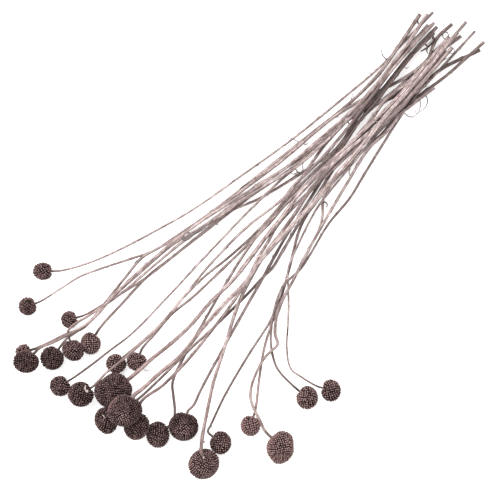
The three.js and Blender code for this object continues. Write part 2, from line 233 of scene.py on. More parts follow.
def stemMaterial():
    material, tree, shader = startMaterial("driedStem", Roughness=0.8, Specular_IOR_Level=0.18)
    grain = attribute(tree, "grain", "Vector")
    fibres = useGroup(tree, fibreGrain, {"Vector": grain, "Stretch": 0.05, "Fineness": 0.9})
    color = faded(tree, stemFinish["bare"], stemFinish["bark"], attribute(tree, "bark"))
    light = useGroup(tree, fibreGrain, {"Vector": grain, "Stretch": 0.16, "Fineness": 0.75})
    color = faded(tree, color, stemFinish["bark"], light.outputs["Streaks"], amount=0.5)
    patch = useGroup(tree, blotches, {"Vector": grain, "Scale": 0.07, "From": 0.46, "To": 0.6})
    color = faded(tree, color, stemFinish["grey"], patch.outputs["Mask"], amount=0.35)
    rust = useGroup(tree, blotches, {"Vector": grain, "Scale": 0.16, "From": 0.53, "To": 0.66})
    color = faded(tree, color, stemFinish["rust"], rust.outputs["Mask"], amount=0.45)
    color = faded(tree, color, stemFinish["blush"], attribute(tree, "blush"), amount=0.5)
    color = faded(tree, color, stemFinish["grey"], attribute(tree, "dusk"), amount=0.85)
    color = faded(tree, color, stemFinish["streakAndShade"], fibres.outputs["Streaks"], amount=0.62)
    # painted shade in the valleys between the ribs
    color = faded(tree, color, stemFinish["streakAndShade"], attribute(tree, "paintedGrooveShade"), amount=0.55)
    dark = useGroup(tree, fibreGrain, {"Vector": grain, "Stretch": 0.3, "Fineness": 0.6})
    color = faded(tree, color, stemFinish["streakAndShade"], dark.outputs["Streaks"], amount=0.6)
    speck = useGroup(tree, blotches, {"Vector": grain, "Scale": 0.6, "From": 0.54, "To": 0.64})
    color = faded(tree, color, stemFinish["streakAndShade"], speck.outputs["Mask"], amount=0.4)
    fine = useGroup(tree, fibreGrain, {"Vector": grain, "Stretch": 0.07, "Fineness": 2.8})
    color = faded(tree, color, stemFinish["streakAndShade"], fine.outputs["Streaks"], amount=0.45)
    # painted shade: the stem's flanks and underside are darkened towards the streak colour
    paintedLowerShade = smoothStep(tree, attribute(tree, "paintedLowerShade"), 0.55, 1.2)
    color = faded(tree, color, stemFinish["streakAndShade"], paintedLowerShade, amount=0.5)
    color = faded(tree, color, stemFinish["neck"], attribute(tree, "neck"), amount=0.92)
    color = faded(tree, color, stemFinish["pith"], attribute(tree, "cut"), amount=0.8)
    tree.links.new(color, shader.inputs["Base Color"])
    bump = addNode(tree, "ShaderNodeBump", {
        "Height": fibres.outputs["Relief"], "Strength": 0.7, "Distance": 0.0006})
    tree.links.new(bump.outputs["Normal"], shader.inputs["Normal"])
    return material


fibreFinish = {
    "light": (0.74, 0.61, 0.58, 1),
    "dark": (0.040, 0.028, 0.025, 1),
}


def fibreMaterial():
    material, tree, shader = startMaterial("looseFibre", Roughness=0.8, Specular_IOR_Level=0.2)
    fibres = useGroup(tree, fibreGrain, {"Vector": attribute(tree, "grain", "Vector"), "Stretch": 0.2,
                                         "Fineness": 2.5})
    color = faded(tree, fibreFinish["light"], fibreFinish["dark"], fibres.outputs["Streaks"], 0.4)
    color = faded(tree, color, fibreFinish["dark"], attribute(tree, "dusk"))
    tree.links.new(color, shader.inputs["Base Color"])
    return material


driedFlorets = floretMaterial()
driedStem = stemMaterial()
looseFibre = fibreMaterial()
print("materials made")


def finishPiece(shape, name, materials, nodeName=None):
    mesh = bpy.data.meshes.new(name)
    shape.to_mesh(mesh)
    shape.free()
    piece = bpy.data.objects.new(name, mesh)
    bpy.context.scene.collection.objects.link(piece)
    for material in materials:
        mesh.materials.append(material)
    mesh.polygons.foreach_set("use_smooth", [True] * len(mesh.polygons))
    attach(piece, "root")
    if nodeName:
        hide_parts(nodeName)
    return piece


def join(shape, part):
    # adds a finished part to a piece's shape
    scratch = bpy.data.meshes.new("part")
    part.to_mesh(scratch)
    part.free()
    shape.from_mesh(scratch)
    bpy.data.meshes.remove(scratch)


# Rods: stems, hairs, fibres and curls are all bent from one straight rod

def smoothThrough(points, step):
    # a smooth line of (place, radius) through the points, in even steps from each to the next
    last = len(points) - 1
    ways = [(far[0] - near[0]).normalized() for near, far in zip(points, points[1:])]
    tangents = [ways[0]] + [(a + b).normalized() for a, b in zip(ways, ways[1:])] + [ways[-1]]
    line = [points[0]]
    for i in range(last):
        near, far = points[i], points[i + 1]
        length = (far[0] - near[0]).length
        count = max(1, round(length / step))
        places = interpolate_bezier(near[0], near[0] + tangents[i] * length / 3,
                                    far[0] - tangents[i + 1] * length / 3, far[0], count + 1)
        for k, place in enumerate(places[1:], 1):
            line.append((place, near[1] + (far[1] - near[1]) * k / count))
    return line


ribTwist = 0.006  # radians that the ribs turn in a millimetre of stem


def bendRod(line, sides, flatness=1.0, ribs=0, ribDepth=0.0, start=0.0):
    last = len(line) - 1
    rod = bmesh.new()
    grain = rod.verts.layers.float_vector.new("grain")
    paintedGrooveShade = rod.verts.layers.float.new("paintedGrooveShade")
    paintedLowerShade = rod.verts.layers.float.new("paintedLowerShade")
    for key in ("bark", "blush", "dusk", "neck", "cut"):
        rod.verts.layers.float.new(key)
    bmesh.ops.create_cone(rod, cap_ends=True, segments=sides, radius1=1, radius2=1, depth=1)
    long = [e for e in rod.edges if abs(e.verts[0].co.z - e.verts[1].co.z) > 0.5]
    if last > 1:
        bmesh.ops.subdivide_edges(rod, edges=long, cuts=last - 1, use_grid_fill=True)
    frames = []
    side = None
    way = start
    for k, (place, radius) in enumerate(line):
        tangent = (line[min(k + 1, last)][0] - line[max(k - 1, 0)][0]).normalized()
        if side is None:
            side = tangent.cross(Vector((0, 0, 1)))
        side = (side - tangent * side.dot(tangent)).normalized()
        if k:
            way += (place - line[k - 1][0]).length / mm
        frames.append((place, side, tangent.cross(side), radius, way))
    for v in rod.verts:
        place, side, top, radius, way = frames[round((v.co.z + 0.5) * last)]
        angle = math.atan2(v.co.y, v.co.x)
        rib = math.cos(ribs * (angle + way * ribTwist))
        reach = radius * (1 + ribDepth * rib)
        # how deep in a rib valley the surface lies, for the painted groove shade
        v[paintedGrooveShade] = max(0, -rib) if ribs else 0
        v[grain] = (way, math.cos(angle) * radius / mm, math.sin(angle) * radius / mm)
        outward = side * math.cos(angle) + top * math.sin(angle) * flatness
        v[paintedLowerShade] = 1 - max(0, outward.z)  # painted shade: darker where the surface faces sideways or down
        v.co = place + outward * reach
    rod.normal_update()
    return rod, frames


fibreShape = {
    "step": 1.0 * mm,
    "sides": 4,
    "thinning": 0.6,  # share of the width that is lost at the tip
    "lowest": 0.02 * mm,
}


def addFibre(shape, points, width, flatness, start, dusk):
    # a hair or a shred that thins out towards its tip
    line = smoothThrough([(p, width * mm / 2) for p in points], fibreShape["step"])
    last = len(line) - 1
    line = [(p, r * (1 - fibreShape["thinning"] * (k / last) ** 2)) for k, (p, r) in enumerate(line)]
    fibre, _ = bendRod(line, fibreShape["sides"], flatness, start=start)
    shade = fibre.verts.layers.float["dusk"]
    for v in fibre.verts:
        v[shade] = dusk
        v.co.z = max(v.co.z, fibreShape["lowest"])
    for face in fibre.faces:
        face.material_index = 1
    join(shape, fibre)


stemLook = {
    "step": 3.0 * mm,
    "sides": 20,
    "ribs": 5,
    "ribDepth": 0.09,
    "neck": 9.0,  # millimetres of dark stem outside the head
    "socket": 3.2,  # millimetres of stem inside the head
    "hollow": 0.6,  # share of the cut end's radius that is sunk
    "sunk": 0.8,  # millimetres that the pith has shrunk below the cut
    "rimTone": 0.7,  # how light the rim of the cut end is
    "floorTone": 0.7,  # how dark the sunk pith is
    "joints": (3, 4, 5),  # how many swellings a stem may have
    "jointsFrom": 0.12,  # shares of the stem's length between which they lie
    "jointsTo": 0.9,
    "jointLength": 3.5,  # millimetres, on a stem of plainLength
    "plainLength": 450,
    "swelling": 0.16,
    "unevenness": 0.07,
    "fullness": 1.06,  # against the CAD stem, whose six sides are thinner than its ring of corners
    "grainStart": 611.0,  # millimetres between the stems in the grain, so that no two look the same
}

# how a stem's pink and grey drift along it: strength, waves in a millimetre, and the two numbers
# that keep stems and drifts apart
stemDrifts = {
    "pink": [(0.7, 0.018, 3.7, 1.5), (0.5, 0.07, 2.3, 4.5)],
    "grey": [(0.6, 0.022, 5.1, 8.5), (0.35, 0.09, 1.9, 2.5)],
}

# how the tones change with the way from the head, in millimetres
stemFades = {
    "lessGrey": 0.2,  # taken from the grey of every stem
    "headGrey": 0.36,  # added beside the head, and gone after headReach
    "headReach": 120,
    "endGrey": 0.38,  # added after endFrom, in full endReach further on
    "endFrom": 250,
    "endReach": 200,
    "blush": 1.6,
    "blushStart": 1.1,
    "blushReach": 130,
    "stretchEdge": 4,
    "neckPower": 0.5,
}

# how pink and light each stem is, how grey, and how dark it is next to its head, from 0 to 1
stemTones = {
    1: (0.60, 0.05, 0.7), 2: (0.25, 0.12, 0.8), 3: (0.25, 0.40, 0.8), 4: (0.35, 0.30, 0.9),
    5: (0.50, 0.20, 0.9), 6: (0.35, 0.30, 0.9), 7: (0.50, 0.10, 0.8), 8: (0.40, 0.25, 0.8),
    9: (0.35, 0.35, 0.7), 10: (0.25, 0.40, 1.0),
    11: (0.20, 0.45, 0.9), 12: (0.10, 0.60, 0.8), 13: (0.70, 0.05, 0.1), 14: (0.45, 0.30, 0.9),
    15: (0.10, 0.80, 0.9), 16: (0.35, 0.25, 0.3), 17: (0.40, 0.30, 0.2), 18: (0.70, 0.05, 0.6),
    19: (0.50, 0.15, 0.9), 20: (0.60, 0.10, 1.0), 21: (0.75, 0.05, 0.4), 22: (0.60, 0.15, 0.1),
    23: (0.55, 0.15, 0.1), 24: (0.80, 0.05, 0.3),
}

# stretches that differ from the rest of their stem: the places in the field where each begins
# and ends, then what is added to its pink and to its grey
stemStretches = {
    3: [((305, 138), (352, 101), 0.0, 0.3), ((390, 60), (420, 14), 0.2, -0.2)],
    4: [((110, 297), (143, 257), -0.2, 0.5), ((255, 182), (290, 155), -0.1, 0.3),
        ((340, 115), (362, 100), -0.1, 0.3), ((415, 70), (461, 36), 0.4, -0.4)],
    5: [((424, 70), (452, 24), -0.5, 0.9)],
    7: [((225, 260), (258, 230), -0.2, 0.6), ((262, 226), (321, 150), 0.3, -0.1),
        ((340, 130), (395, 64), -0.3, 0.4)],
    8: [((275, 215), (295, 193), -0.4, 0.8), ((318, 168), (402, 66), -0.3, 0.7)],
    9: [((68, 382), (125, 338), -0.3, 0.6), ((330, 137), (405, 50), -0.2, 0.4)],
    10: [((165, 428), (173, 384), -0.4, 0.9), ((322, 168), (434, 33), -0.3, 0.8)],
    11: [((121, 411), (166, 373), -0.3, 0.8), ((224, 318), (238, 304), -0.3, 0.8),
         ((242, 298), (259, 282), -0.3, 0.8)],
    12: [((297, 230), (307, 213), -0.3, 0.8), ((208, 431), (226, 393), 0.0, 0.2)],
    13: [((418, 97), (466, 58), -0.5, 0.4), ((466, 58), (484, 42), -0.5, 0.8)],
    14: [((372, 133), (440, 72), 0.3, -0.4)],
    15: [((324, 231), (361, 180), -0.2, 0.5)],
    16: [((380, 140), (420, 100), 0.2, -0.3)],
    17: [((264, 275), (290, 230), -0.3, 0.5), ((309, 200), (330, 168), -0.4, 0.9),
         ((350, 148), (388, 112), -0.5, 1.0)],
    18: [((60, 340), (85, 327), -0.1, 0.3), ((160, 262), (182, 243), -0.2, 0.4),
         ((210, 225), (245, 197), 0.2, -0.5), ((333, 135), (400, 60), -0.2, 0.4)],
    19: [((40, 348), (76, 331), -0.2, 0.3), ((160, 255), (185, 237), -0.1, 0.3),
         ((225, 208), (262, 182), 0.2, -0.5), ((298, 158), (335, 135), 0.2, -0.4)],
    20: [((139, 411), (144, 398), -0.3, 0.8), ((303, 200), (322, 180), -0.3, 0.5)],
    21: [((270, 232), (286, 212), 0.4, -0.2), ((395, 100), (425, 72), 0.3, -0.3)],
    22: [((227, 340), (241, 297), 0.3, -0.1), ((284, 229), (329, 167), -0.4, 0.8)],
    23: [((92, 386), (110, 370), 0.5, -0.2), ((225, 248), (265, 212), -0.3, 0.5),
         ((272, 207), (297, 183), 0.3, -0.4), ((300, 180), (388, 75), -0.3, 0.7)],
    24: [((345, 164), (397, 102), 0.3, -0.1)],
}

# hairs, curls, twiglets and scraps of bark, each on the stem that it grows from: its places in
# the field, its width, how flat it is, how dark, and how far its tip is above its foot
stemTrims = {
    1: [([(301, 173), (297.5, 172), (295.5, 167), (296.5, 163)], 0.7, 1.0, 0.5, 2),
        ([(302, 173), (303, 169), (302.3, 165), (304.5, 162)], 0.6, 1.0, 0.6, 2),
        ([(298, 172.5), (294, 174.2), (290.5, 173)], 0.6, 1.0, 0.5, 0)],
    2: [([(387, 59.5), (383, 56), (381.4, 51), (381, 46)], 0.7, 1.0, 0.9, 3),
        ([(371, 76), (370, 73), (368, 71)], 0.5, 1.0, 0.7, 1)],
    3: [([(299, 142), (290, 138), (281, 135.5), (272, 135)], 0.4, 1.0, 0.8, -3),
        ([(303, 141), (304, 144), (306.5, 144.5), (307.5, 142.5)], 0.6, 1.0, 0.5, 1),
        ([(240, 189), (246, 184), (251, 181.5), (256, 177)], 1.2, 0.3, 0.8, 1),
        ([(351, 99), (352.5, 96), (352, 93.5)], 0.5, 1.0, 0.6, 1),
        ([(417, 18), (417.5, 22), (420, 25.5)], 1.0, 0.5, 0.9, -2)],
    6: [([(217, 225), (219, 214), (223, 211.5), (224.2, 208.5), (221.5, 207.6)], 0.5, 1.0, 0.3, 2),
        ([(352, 126.5), (356, 122), (361, 121.5), (365, 118)], 0.7, 0.4, 0.2, 2)],
    8: [([(400, 68), (403.5, 66), (406, 68.5), (408.5, 67)], 0.7, 0.6, 0.9, -4)],
    10: [([(428, 40), (431, 36), (433.5, 40), (430, 45), (426, 48.5), (420.5, 51.5)], 1.3, 0.35, 0.9, -4),
         ([(427, 47), (426.5, 51), (428, 54)], 0.9, 0.4, 0.9, -3),
         ([(424, 45), (428, 44), (431, 41), (432, 36.5)], 0.8, 0.5, 0.8, 2)],
    12: [([(210.5, 425.5), (212, 427), (212.6, 429)], 0.8, 0.6, 0.8, 0.5),
         ([(368, 143), (369, 138), (372.5, 136), (377, 133)], 0.8, 0.5, 0.7, 1)],
    13: [([(322.5, 203), (325, 202.3), (327, 204.5), (326.5, 207), (324.6, 207.2)], 0.8, 1.0, 0.8, -2)],
    14: [([(350, 168.5), (348.8, 171), (349.6, 176), (350.5, 179)], 0.6, 1.0, 0.5, -2)],
    15: [([(305, 261), (302, 259.5), (299.5, 257.5)], 0.7, 0.6, 0.1, -1),
         ([(403, 113), (408, 116.5), (413, 117), (416, 114), (415, 111)], 0.6, 1.0, 0.6, -6)],
    16: [([(329.5, 212), (333.5, 212.2), (336.5, 212.4)], 0.6, 1.0, 0.5, -1),
         ([(423, 96), (426, 97), (427.2, 102), (425, 107.5), (421, 111), (416.5, 114)], 0.6, 1.0, 0.9, -6),
         ([(418, 99), (420, 104), (419.2, 110), (416, 116)], 0.5, 1.0, 0.8, -6)],
    17: [([(205, 383), (202, 382.6), (200.3, 380.6)], 0.5, 1.0, 0.6, 1)],
    19: [([(184, 239), (196, 232), (207, 225), (217, 219)], 1.5, 0.3, 0.8, 1),
         ([(190, 234), (200, 231), (210, 222.5), (214, 218)], 1.1, 0.3, 0.7, 2),
         ([(228, 204), (238, 197), (250, 190), (256, 184)], 1.2, 0.3, 0.6, 1)],
    20: [([(257, 257), (259.5, 256), (263, 255.4)], 1.5, 0.35, 0.0, 1),
         ([(256, 258), (253, 253.5), (251, 247)], 0.45, 1.0, 0.1, 3)],
    21: [([(142, 367.5), (146, 370.2), (150.5, 370.3)], 0.45, 1.0, 0.6, -2),
         ([(446, 40), (442.5, 37), (443, 33.6), (446.5, 33), (448, 36), (445.5, 38)], 0.7, 1.0, 0.9, 3)],
    22: [([(203, 442), (204.5, 441.2), (205, 439.8)], 0.8, 0.7, 0.7, 0.5),
         ([(201.5, 449), (199.4, 448.4), (198.4, 446.8)], 0.9, 0.7, 0.5, 0.5),
         ([(451, 51), (449.5, 53), (452, 54), (454, 51.5), (452.6, 48.6)], 0.6, 1.0, 0.8, 2),
         ([(213.5, 384), (211.3, 381.5), (211.8, 378.5)], 0.5, 1.0, 0.6, 1)],
    24: [([(373, 120), (371.4, 117), (372.3, 113.6), (374.8, 113.2), (374.8, 116)], 0.6, 1.0, 0.6, 3),
         ([(352, 157), (357, 150), (361, 146), (364, 140)], 1.0, 0.3, 0.0, 2)],
}


def stemStations(number):
    # the CAD stem's stations, found ring by ring from the end inside the head
    shell = bmesh.new()
    shell.from_mesh(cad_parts[f"stem_{number:02d}"].data)
    bmesh.ops.remove_doubles(shell, verts=shell.verts, dist=1e-6)
    low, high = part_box(f"head_{number:02d}")
    headMiddle = (low + high) / 2
    cap = min(shell.verts, key=lambda v: (v.co - headMiddle).length)
    done = {cap}
    ring = {e.other_vert(cap) for e in cap.link_edges}
    stations = []
    while len(ring) > 1:
        middle = sum((v.co for v in ring), Vector()) / len(ring)
        stations.append((middle, sum((v.co - middle).length for v in ring) / len(ring)))
        done |= ring
        ring = {e.other_vert(v) for v in ring for e in v.link_edges} - done
    shell.free()
    return stations


def limit(value):
    return min(1, max(0, value))


def nearestFrame(frames, x, y):
    spot = onField(x, y).xy
    return min(frames, key=lambda found: (found[0].xy - spot).length)


def drifted(value, kind, way, number):
    for strength, waves, apart, layer in stemDrifts[kind]:
        value += strength * noise.noise(Vector((way * waves, number * apart, layer)))
    return value


def toneStem(shape, number, frames):
    pink, grey, neckDark = stemTones[number]
    grain = shape.verts.layers.float_vector["grain"]
    bark, blush, dusk, neck = (shape.verts.layers.float[key] for key in ("bark", "blush", "dusk", "neck"))
    stretches = [(nearestFrame(frames, *near)[4], nearestFrame(frames, *far)[4], morePink, moreGrey)
                 for near, far, morePink, moreGrey in stemStretches.get(number, [])]
    outside = frames[0][4] + stemLook["socket"]
    fades = stemFades
    for v in shape.verts:
        way = v[grain][0]
        out = way - outside
        light = drifted(pink, "pink", way, number)
        dull = grey - fades["lessGrey"] + fades["headGrey"] * limit(1 - out / fades["headReach"])
        dull += fades["endGrey"] * limit((out - fades["endFrom"]) / fades["endReach"])
        dull = drifted(dull, "grey", way, number)
        for near, far, morePink, moreGrey in stretches:
            within = limit((way - near) / fades["stretchEdge"] + 0.5)
            within *= limit((far - way) / fades["stretchEdge"] + 0.5)
            light += morePink * within
            dull += moreGrey * within
        v[bark] = limit(light)
        v[blush] = limit(fades["blush"] * pink) * limit(fades["blushStart"] - out / fades["blushReach"])
        v[dusk] = limit(dull)
        v[neck] = neckDark * limit(1 - out / stemLook["neck"]) ** fades["neckPower"]


def cutEnd(shape, frames):
    # the cut end keeps a firm rim round its shrunk pith
    cut = shape.verts.layers.float["cut"]
    neck = shape.verts.layers.float["neck"]
    radius = frames[-1][3]
    back = (frames[-2][0] - frames[-1][0]).normalized()
    end = max((f for f in shape.faces if len(f.verts) > 4),
              key=lambda f: (f.calc_center_median() - frames[0][0]).length)
    bmesh.ops.inset_region(shape, faces=[end], thickness=radius * (1 - stemLook["hollow"]))
    for v in end.verts:
        v[cut] = stemLook["rimTone"]
    grown = bmesh.ops.extrude_face_region(shape, geom=[end])["geom"]
    for v in (g for g in grown if isinstance(g, bmesh.types.BMVert)):
        v.co += back * stemLook["sunk"] * mm
        v[cut] = 0.0
        v[neck] = stemLook["floorTone"]
    if end.is_valid:
        bmesh.ops.delete(shape, geom=[end], context="FACES_ONLY")


shredLook = {
    "count": 18,
    "headBare": 8,  # steps beside the head, and at the cut end, that have none
    "endBare": 4,
    "crowding": 0.6,  # the lower, the more of them lie near the cut end
    "ways": (1, 1, -1),  # along the stem, mostly towards the cut end
    "shortest": 2.5 * mm,
    "longest": 9.0 * mm,
    "leastStray": 0.05,  # how far the tip stands off, as a share of the length
    "mostStray": 0.35,
    "rooted": 0.8,  # share of the stem's radius at which a shred starts
    "pieces": 4,
    "thinnest": 0.25,
    "widest": 0.9,
    "flatness": (0.35, 0.5, 1.0),
    "tones": (0.0, 0.1, 0.3, 0.8, 1.0),
}


def addShreds(shape, frames, draw):
    # fibres that have come loose from the bark, most of them where the stems rub together
    look = shredLook
    last = len(frames) - 1
    reach = last - look["headBare"] - look["endBare"]
    for _ in range(look["count"]):
        k = round(look["headBare"] + reach * draw.random() ** look["crowding"])
        place, side, top, radius, way = frames[k]
        tangent = (frames[k + 1][0] - place).normalized() * draw.choice(look["ways"])
        angle = draw.uniform(0, 2 * math.pi)
        out = side * math.cos(angle) + top * math.sin(angle)
        out.z = abs(out.z)
        length = draw.uniform(look["shortest"], look["longest"])
        stray = draw.uniform(look["leastStray"], look["mostStray"])
        points = [place + out * radius * look["rooted"]]
        for i in range(1, look["pieces"] + 1):
            share = i / look["pieces"]
            points.append(place + out * (radius + stray * length * share ** 2) + tangent * length * share)
        addFibre(shape, points, draw.uniform(look["thinnest"], look["widest"]),
                 draw.choice(look["flatness"]), way, draw.choice(look["tones"]))


trimLook = {
    "growth": 2.2,  # against the widths in stemTrims, so that the trims show in a render
    "rooted": 0.6,  # share of the stem's radius above its middle at which a trim starts
    "lowest": 0.2,  # millimetres above the surface
}


def addTrims(shape, number, frames):
    for places, width, flatness, dark, rise in stemTrims.get(number, []):
        foot, _, _, radius, way = nearestFrame(frames, *places[0])
        line = [foot]
        for k, (x, y) in enumerate(places):
            height = (foot.z + trimLook["rooted"] * radius) / mm + rise * k / (len(places) - 1)
            line.append(onField(x, y, max(trimLook["lowest"], height)))
        addFibre(shape, line, trimLook["growth"] * width, flatness, way, dark)


def makeStem(number):
    look = stemLook
    draw = random.Random(number)
    line = smoothThrough(stemStations(number), look["step"])
    joints = sorted(draw.uniform(look["jointsFrom"], look["jointsTo"])
                    for _ in range(draw.choice(look["joints"])))
    last = len(line) - 1
    shaped = []
    for k, (place, radius) in enumerate(line):
        swell = sum(math.exp(-(((k / last - j) * look["plainLength"] / look["jointLength"]) ** 2))
                    for j in joints)
        uneven = look["unevenness"] * noise.noise(Vector((number * 7.3, k * 0.3, 0)))
        radius *= look["fullness"] + uneven + look["swelling"] * swell
        place.z = max(place.z, radius)
        shaped.append((place, radius))
    start = number * look["grainStart"]
    shape, frames = bendRod(shaped, look["sides"], 1.0, look["ribs"], look["ribDepth"], start)
    toneStem(shape, number, frames)
    cutEnd(shape, frames)
    addShreds(shape, frames, draw)
    addTrims(shape, number, frames)
    finishPiece(shape, f"stem{number:02d}", [driedStem, looseFibre], f"stem_{number:02d}")


for number in range(1, 25):
    makeStem(number)
print("stems made")

headLook = {
    "spacing": 2.35,  # millimetres between neighbouring florets
    "height": 1.4,  # of a floret above the ball that it stands on
    "fullness": 1.03,  # of the head against the CAD one, whose florets are coarser
    "proud": 1.0,  # millimetres that the tips stand out past that
    "scatter": 0.1,  # of the florets' places, as a share of the spacing
    "dimple": 1.6,
    "dimpleWidth": 3.6,
    "ballDetail": 4,
    "smoothing": 4,  # rounds that turn the coarse CAD florets into an even ball
    "bare": 0.35,  # of the spacing, between the stem and the nearest floret
    "lowest": 0.05 * mm,
    "seeds": 100,
    "sliverRise": 0.3,  # millimetres that a sliver lies above the florets
    "sliverFlatness": 0.5,
}

# rings of a floret from its foot up: height, radius as a share of the spacing, tip colour (0 is the painted
# crevice shade at the foot, 1 the pale tip)
openFloret = [(-0.9, 0.28, 0.0), (0.35, 0.42, 0.15), (1.1, 0.26, 0.45), (1.45, 0.2, 1.0), (1.3, 0.07, 0.8)]
budFloret = [(-0.9, 0.28, 0.0), (0.35, 0.42, 0.15), (1.1, 0.26, 0.45), (1.55, 0.14, 1.0)]

# For each head: how bright its tips are (shade) and how pink they are (rosy), sides where they
# are worn short and pink (worn), sides where they lie long and flat (combed), and brighter spots
# (glints). A side is a direction in the field, then how wide it is as a cosine, and for a
# combed one the way in which its florets point. A spot is x, y, its radius and how bright it is.
headTones = {
    1: {"shade": 0.5, "rosy": 0.28}, 2: {"shade": 0.5, "rosy": 0.25}, 3: {"shade": 0.43, "rosy": 0.2},
    4: {"shade": 0.8, "rosy": 0.15, "worn": [((-0.2, 0.7, 0.6), 0.75)]},
    5: {"shade": 0.36}, 6: {"shade": 1.1, "rosy": 0.15}, 7: {"shade": 1.0}, 8: {"shade": 0.9, "rosy": 0.2},
    9: {"shade": 0.53}, 10: {"shade": 0.56, "glints": [(158, 440, 8, 0.4)]}, 11: {"shade": 0.55},
    12: {"shade": 0.68, "glints": [(220, 446, 8, 0.4)]}, 13: {"shade": 2.2, "rosy": 0.75},
    14: {"shade": 0.84}, 15: {"shade": 1.15, "glints": [(303, 396, 4, 0.8)]},
    16: {"shade": 1.6, "rosy": 0.35, "worn": [((-0.6, 0.75, 0.4), 0.86), ((1, 0.05, 0.3), 0.86)],
         "combed": [((0.05, -0.85, 0.45), 0.78, (0, -1, 0))]},
    17: {"shade": 0.36, "glints": [(184, 431, 10, 1.0)]}, 18: {"shade": 0.47, "rosy": 0.16},
    19: {"shade": 0.29},
    20: {"shade": 0.62, "glints": [(137, 434, 8, 0.3)]}, 21: {"shade": 0.45},
    22: {"shade": 0.82, "rosy": 0.2, "glints": [(206, 471, 8, 0.3)]}, 23: {"shade": 0.4},
    24: {"shade": 0.36, "worn": [((-0.85, 0.4, 0.25), 0.85)], "glints": [(124, 416, 8, 1.1)]},
}

# slivers of bract and of stem that lie on a head: their places in the field, width and darkness
headSlivers = {
    11: [([(103, 414.5), (104.5, 416), (104.8, 418)], 1.0, 0.0)],
    22: [([(202.2, 450.5), (202.8, 454), (204.4, 458)], 2.6, 0.45)],
    23: [([(86, 385), (85.6, 387), (86, 389.5), (87.4, 392.2)], 1.5, 0.0),
         ([(87.6, 389.5), (88.4, 392)], 2.2, 0.0)],
}


def floretShape(rings, sides, spacing):
    # a closed floret grown ring by ring from its foot
    shape = bmesh.new()
    tip = shape.verts.layers.float.new("tip")
    for key in ("tone", "rosy"):
        shape.verts.layers.float.new(key)
    height, share, _ = rings[0]
    bmesh.ops.create_circle(shape, cap_ends=True, segments=sides, radius=share * spacing * mm)
    bmesh.ops.translate(shape, verts=shape.verts, vec=(0, 0, height * mm))
    shape.faces.ensure_lookup_table()
    top = shape.faces[0]
    foot = top
    for nextHeight, nextShare, nextLight in rings[1:]:
        grown = bmesh.ops.extrude_face_region(shape, geom=[top])["geom"]
        if top.is_valid and top is not foot:
            bmesh.ops.delete(shape, geom=[top], context="FACES_ONLY")
        top = next(g for g in grown if isinstance(g, bmesh.types.BMFace))
        for v in top.verts:
            v.co.x *= nextShare / share
            v.co.y *= nextShare / share
            v.co.z += (nextHeight - height) * mm
            v[tip] = nextLight
        height, share = nextHeight, nextShare
    middle = bmesh.ops.poke(shape, faces=[top])["verts"][0]
    middle[tip] = rings[-1][2]
    bmesh.ops.recalc_face_normals(shape, faces=shape.faces)
    return shape


def headBall(number, entry):
    # the CAD head's form as a smooth closed ball, sunk by the florets' height less what they
    # stand proud
    shell = bmesh.new()
    shell.from_mesh(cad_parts[f"head_{number:02d}"].data)
    bmesh.ops.remove_doubles(shell, verts=shell.verts, dist=1e-6)
    bmesh.ops.convex_hull(shell, input=shell.verts)
    surface = BVHTree.FromBMesh(shell)
    low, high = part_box(f"head_{number:02d}")
    middle = (low + high) / 2
    ball = bmesh.new()
    for key in ("tip", "tone", "rosy"):
        ball.verts.layers.float.new(key)
    bmesh.ops.create_icosphere(ball, subdivisions=headLook["ballDetail"], radius=1)
    for v in ball.verts:
        v.co = surface.ray_cast(middle, v.co.normalized())[0]
    before = sum((v.co - middle).length for v in ball.verts)
    for _ in range(headLook["smoothing"]):
        bmesh.ops.smooth_vert(ball, verts=ball.verts, factor=0.5,
                              use_axis_x=True, use_axis_y=True, use_axis_z=True)
    growth = headLook["fullness"] * before / sum((v.co - middle).length for v in ball.verts)
    for v in ball.verts:
        out = v.co - middle
        reach = out.length * growth + (headLook["proud"] - headLook["height"]) * mm
        aside = (out - entry * out.dot(entry)).length / mm
        if out.dot(entry) > 0:
            reach -= headLook["dimple"] * mm * math.exp(-((aside / headLook["dimpleWidth"]) ** 2))
        v.co = middle + out.normalized() * reach
    shell.free()
    return ball, middle


def facing(out, direction, cosine):
    return out.dot(fieldDirection(*direction)) > cosine


floretLook = {
    "lean": 0.08,
    "sizes": 0.05,
    "tones": (0.35, 1.4),  # the least and the most of its head's shade
    "pinks": (0.4, 1.4),
    "wornHeight": 0.7,
    "wornTone": 0.6,
    "wornPink": 0.45,
    "combedHeight": 2.0,
    "combedLift": 0.55,  # how much of the ball's own direction a combed floret keeps
    "glints": (0.3, 1.3),
}


